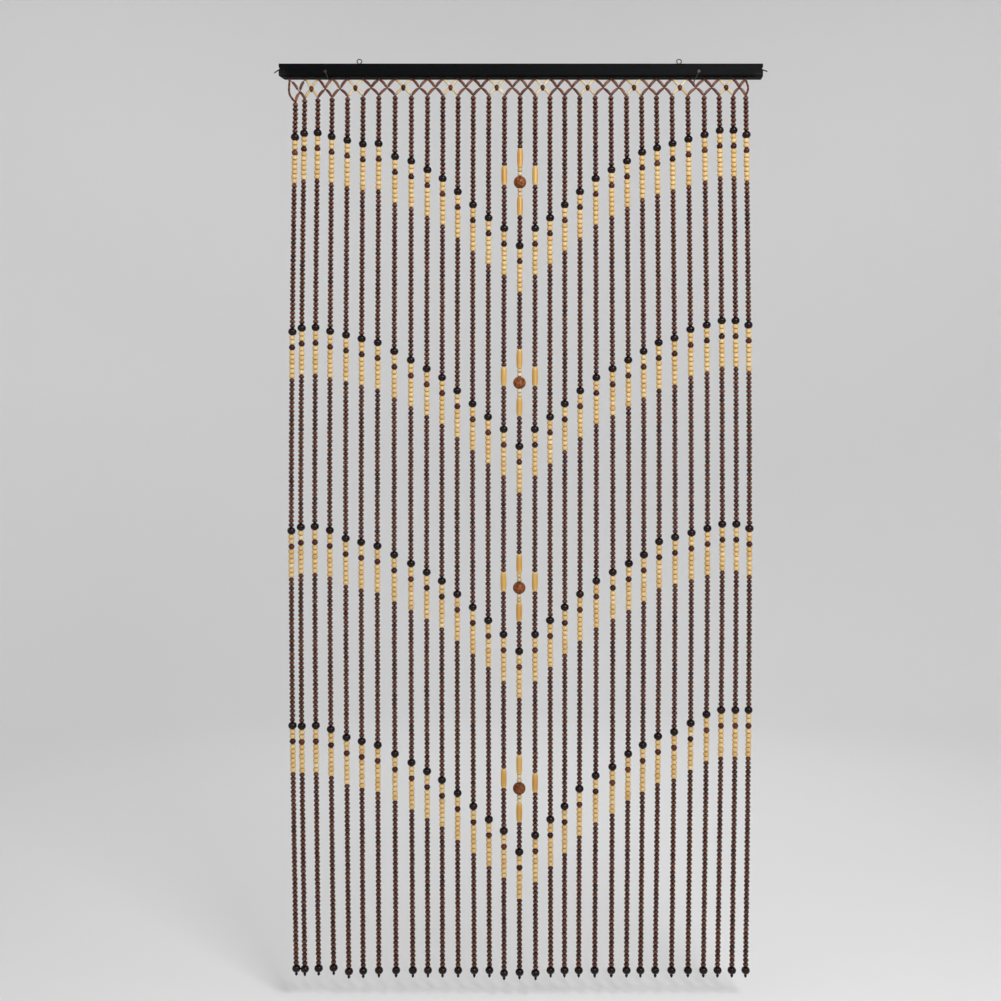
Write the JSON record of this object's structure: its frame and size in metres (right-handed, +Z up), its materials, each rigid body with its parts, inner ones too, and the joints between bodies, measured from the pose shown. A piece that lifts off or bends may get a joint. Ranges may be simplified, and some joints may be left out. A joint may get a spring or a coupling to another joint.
{
  "type": "bead curtain with header bar",
  "caption": "Doorway curtain of wooden bead strings in a chevron pattern, hanging from a knotted net under a black header bar with screw eyes on top.",
  "frame": {"origin": "centre of the header bar's flat top face", "axes": "+X along the bar, to the right as seen from the front; +Z up; the front faces -Y"},
  "size_m": [0.9476, 0.0665, 1.7687],
  "materials": {
    "black_paint": "black painted wood, satin",
    "brown_beads": "stained wooden beads, gloss varnish",
    "yellow_beads": "pale wooden beads and bamboo tubes, varnished",
    "dark_beads": "blackened wooden beads, gloss varnish",
    "ball_wood": "turned wooden balls with open grain, varnished",
    "zinc_steel": "zinc plated wire",
    "brown_cord": "twisted synthetic cord"
  },
  "bodies": {
    "root": {"header_bar": "black_paint", "bead_strings": "brown_beads", "screw_eye_left": "zinc_steel", "screw_eye_right": "zinc_steel", "nail_left": "zinc_steel", "nail_right": "zinc_steel", "cord_end_left": "brown_cord", "cord_end_right": "brown_cord"}
  },
  "joints": []
}
